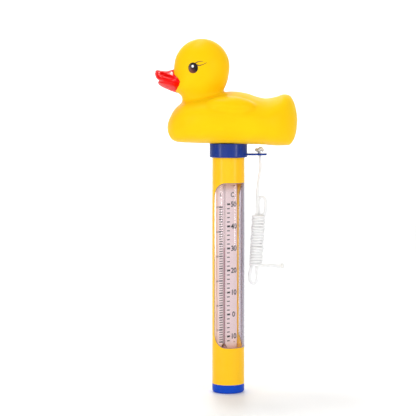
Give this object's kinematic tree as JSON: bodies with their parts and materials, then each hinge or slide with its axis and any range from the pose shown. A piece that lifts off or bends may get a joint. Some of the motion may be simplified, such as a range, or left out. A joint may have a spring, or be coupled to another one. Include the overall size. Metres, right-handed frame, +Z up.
{
  "type": "floating pool thermometer",
  "caption": "Spirit thermometer in a ballasted tube with a window, hung upright in the water under a hollow duck-shaped float that turns on its cap, with a tether cord.",
  "frame": {"origin": "centre of the bottom cap's flat face", "axes": "+Z up the tube; the duck looks along -X; the cord's lug points along +X"},
  "size_m": [0.0971, 0.0651, 0.2409],
  "materials": {
    "duck_vinyl": "soft satin vinyl",
    "bill_red": "glossy paint on vinyl",
    "eye_print": "glossy pad print",
    "tube_yellow": "moulded gloss",
    "clear_lens": "clear polished",
    "base_blue": "moulded satin",
    "cap_blue": "moulded satin",
    "seal_rubber": "matte",
    "ballast_steel": "turned",
    "plate_card": "printed plate",
    "holder_white": "moulded",
    "capillary_glass": "drawn glass",
    "spirit_red": "liquid",
    "cord_white": "braided nylon"
  },
  "bodies": {
    "tube": {"outer_tube": "tube_yellow", "window_lens": "clear_lens", "bottom_cap": "base_blue", "base_o_ring": "seal_rubber", "ballast_slug": "ballast_steel", "top_cap": "cap_blue", "cap_o_ring": "seal_rubber", "spigot_o_ring": "seal_rubber", "scale_plate": "plate_card", "lower_holder": "holder_white", "upper_holder": "holder_white", "glass_thermometer": "capillary_glass", "bulb_spirit": "spirit_red"},
    "duck": {"duck_shell": "duck_vinyl", "bill": "bill_red", "left_eye": "eye_print", "right_eye": "eye_print"},
    "spirit": {"spirit_column": "spirit_red", "spirit_meniscus": "spirit_red"},
    "knot": {"stop_knot": "cord_white"},
    "tether": {"cord_run": "cord_white", "cord_hank": "cord_white", "cord_tail": "cord_white", "cord_end_bead": "cord_white"}
  },
  "joints": [
    {"name": "duck_twist", "type": "hinge", "parent": "tube", "child": "duck", "pos_m": [0, 0, 0.17038], "axis": [0, 0, 1], "continuous": true},
    {"name": "tether_turn", "type": "hinge", "parent": "tube", "child": "knot", "pos_m": [0.0213, 0, 0.16218], "axis": [0, 0, 1], "range_deg": [-60, 60]},
    {"name": "tether_swing", "type": "hinge", "parent": "knot", "child": "tether", "pos_m": [0.0213, 0, 0.16106], "axis": [0, -1, 0], "range_deg": [-1, 75]},
    {"name": "spirit_rise", "type": "slide", "parent": "tube", "child": "spirit", "axis": [0, 0, 1], "range_m": [-0.0606, 0.0303], "deforming": ["spirit_column"]}
  ]
}
